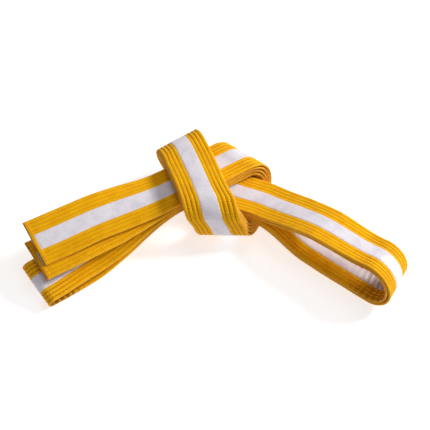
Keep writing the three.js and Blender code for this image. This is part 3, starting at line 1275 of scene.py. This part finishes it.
@dataclass
class QuiltingRows:
    """The lengthwise rows of stitches on one face.

    Attributes:
        strap: The strap that they are sewn through.
        face: The face on which they show.
        pitch: From one stitch to the next, in millimetres.
        margin: How far the rows stop short of the cut ends.
        stagger: How far a row starts after the row beside it.
        seam_inset: From the ribbon's edge to its seam.
    """

    strap: Strap
    face: Face
    pitch: float = 3.2
    margin: float = 6.5
    stagger: float = 0.7
    seam_inset: float = 0.7

    def row(self, across: float, above: float, offset: float) -> tuple[Array, ...]:
        """Return the places of one row's stitches, as along, across and above."""
        along = np.arange(self.margin + offset, self.strap.length - self.margin, self.pitch)
        ones = np.ones_like(along)
        return along, ones * across, ones * above * self.face.value

    def sew(
        self,
        name: str,
        rows: Sequence[float],
        above: float,
        finish: bpy.types.Material,
        length: float,
    ) -> bpy.types.Object:
        """Sew some rows.

        Args:
            name: The object's name.
            rows: Where the rows lie, in millimetres across.
            above: Their height above the middle surface.
            finish: The thread's material.
            length: The length of a stitch.

        Returns:
            One object with all the stitches.
        """
        parts = [self.row(across, above, self.stagger * (k % 3)) for k, across in enumerate(rows)]
        along, across, height = (np.concatenate([part[k] for part in parts]) for k in range(3))
        points, travel, normal = self.strap.place(along, across, height)
        place = np.stack([across, along, height], axis=1)
        made = Stitches(name, length=length).build(points, travel, normal, place)
        made.data.materials.append(finish)
        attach(made, "root")
        return made

    def build(self, sleeve: QuiltedSleeve, ribbon: CentreRibbon) -> list[bpy.types.Object]:
        """Sew the rows of this face, golden in the sleeve's hollows and white on the ribbon."""
        name = self.face.name.lower()
        out = [sleeve.ribbed_from + k * sleeve.rib for k in range(1, sleeve.ribs)]
        rows = [side * across for side in (1, -1) for across in out]
        golden = self.sew(
            "quilting_" + name, rows, sleeve.hollow + 0.06, golden_thread(), 2.5
        )
        edge = ribbon.width / 2 - self.seam_inset
        white = self.sew(
            "ribbon_seams_" + name, [edge, -edge], ribbon.low + ribbon.thick + 0.07,
            white_thread(), 2.2,
        )
        return [golden, white]


class End(Enum):
    """A cut end of the strap."""

    A = "a"
    B = "b"


@dataclass
class EndSeam:
    """The row of stitches that closes one cut end, seen on one face.

    Attributes:
        strap: The strap that it closes.
        end: Which end.
        face: Which face.
        inset: From the cut end, in millimetres.
        pitch: From one stitch to the next.
    """

    strap: Strap
    end: End
    face: Face
    inset: float = 2.4
    pitch: float = 2.4

    def build(self, sleeve: QuiltedSleeve) -> bpy.types.Object:
        """Sew the seam and stand it for its CAD solid."""
        across = np.arange(-HALF_WIDTH + 1.6, HALF_WIDTH - 1.5, self.pitch)
        side = np.full_like(across, self.face.value)
        at = self.inset if self.end is End.A else self.strap.length - self.inset
        along = np.full_like(across, at)
        height = sleeve.above(across, along, side, np.zeros_like(across)) + side * 0.05
        points, travel, normal = self.strap.place(along, across, height)
        crosswise = np.cross(normal, travel)
        name = f"end_seam_{self.end.value}_{self.face.name.lower()}"
        made = Stitches("sewn_" + name, length=2.1).build(
            points, crosswise, normal, np.stack([along, across, height], axis=1)
        )
        made.data.materials.append(golden_thread())
        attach(made, "root")
        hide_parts(name)
        return made


@cache
def golden_thread() -> bpy.types.Material:
    """Return the golden sewing thread's material, made once."""
    return SewingThread("golden_thread", srgb("e6a012"), srgb("b97106")).material()


@cache
def white_thread() -> bpy.types.Material:
    """Return the white sewing thread's material, made once."""
    return SewingThread("white_thread", srgb("f2eef0"), srgb("c4bcc4")).material()


@cache
def ribbon_cloth() -> bpy.types.Material:
    """Return the ribbon's material, made once."""
    return SatinRibbon().material()


# ---- the studio


@dataclass
class Studio:
    """A plain pale floor, soft lights and the camera.

    Attributes:
        elevation: The camera's angle above the floor, in degrees.
        distance: From the camera to its target, in metres.
        target: What it looks at.
        lens: Its focal length, in millimetres.
    """

    elevation: float = 50.0
    distance: float = 1.5
    target: Vector = field(default_factory=lambda: Vector((-0.00025, 0.0195, 0.00026)))
    lens: float = 156.98

    def floor(self) -> None:
        """Lay the floor."""
        bm = bmesh.new()
        bmesh.ops.create_grid(bm, x_segments=2, y_segments=2, size=4.0)
        bmesh.ops.translate(bm, verts=bm.verts, vec=(0.0, 0.0, -0.0003))
        made = finished(bm, "floor", smooth=False)
        made.data.materials.append(PaleFloor().material())

    def light(
        self, name: str, spot: Vector, size: float, power: float, tint: tuple[float, float, float]
    ) -> None:
        """Hang one square light that points at the target.

        Args:
            name: The light's name.
            spot: Where it hangs, in metres.
            size: Its side.
            power: Its power in watts.
            tint: Its colour.
        """
        data = bpy.data.lights.new(name, "AREA")
        data.shape = "SQUARE"
        data.size = size
        data.energy = power
        data.color = tint
        made = bpy.data.objects.new(name, data)
        made.location = spot
        made.rotation_euler = (self.target - spot).to_track_quat("-Z", "Y").to_euler()
        bpy.context.scene.collection.objects.link(made)

    def lights(self) -> None:
        """Hang the lights and set the surroundings."""
        self.light("key", Vector((1.1, 0.35, 0.85)), 0.4, 22.0, (1.0, 0.985, 0.96))
        self.light("fill", Vector((0.4, -1.1, 1.1)), 0.9, 3.5, (0.97, 0.98, 1.0))
        self.light("top", Vector((0.1, 0.5, 1.5)), 0.9, 4.5, (1.0, 1.0, 1.0))
        world = bpy.data.worlds.new("studio")
        world.use_nodes = True
        shade = world.node_tree.nodes["Background"]
        shade.inputs["Color"].default_value = (1.0, 1.0, 1.0, 1.0)
        shade.inputs["Strength"].default_value = 0.22
        bpy.context.scene.world = world
        bpy.context.scene.view_settings.view_transform = "Standard"

    def camera(self) -> None:
        """Set up the camera."""
        rise = math.radians(self.elevation)
        look = Vector((0.0, math.cos(rise), -math.sin(rise)))
        data = bpy.data.cameras.new("camera")
        data.lens = self.lens
        data.sensor_width = 36.0
        data.clip_end = 20.0
        made = bpy.data.objects.new("camera", data)
        made.location = self.target - look * self.distance
        made.rotation_euler = look.to_track_quat("-Z", "Y").to_euler()
        bpy.context.scene.collection.objects.link(made)
        bpy.context.scene.camera = made

    def build(self) -> None:
        """Set up the whole studio."""
        self.camera()
        self.floor()
        self.lights()


def main() -> None:
    """Build the belt and the studio, and report each piece."""
    logging.basicConfig(level=logging.INFO, format="%(message)s")
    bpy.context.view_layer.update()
    Studio().build()
    strap = Strap(Route())
    log.info("strap: %d lines, %.0f mm", len(strap.along), strap.length)
    sleeve = QuiltedSleeve(strap)
    made = [sleeve.build(), CoreStrip(strap).build()]
    for face in Face:
        ribbon = CentreRibbon(strap, face)
        made.append(ribbon.build())
        made += QuiltingRows(strap, face).build(sleeve, ribbon)
        made += [EndSeam(strap, end, face).build(sleeve) for end in End]
    for piece in made:
        log.info("%s: %d faces", piece.name, len(piece.data.polygons))


if __name__ == "__main__":
    main()
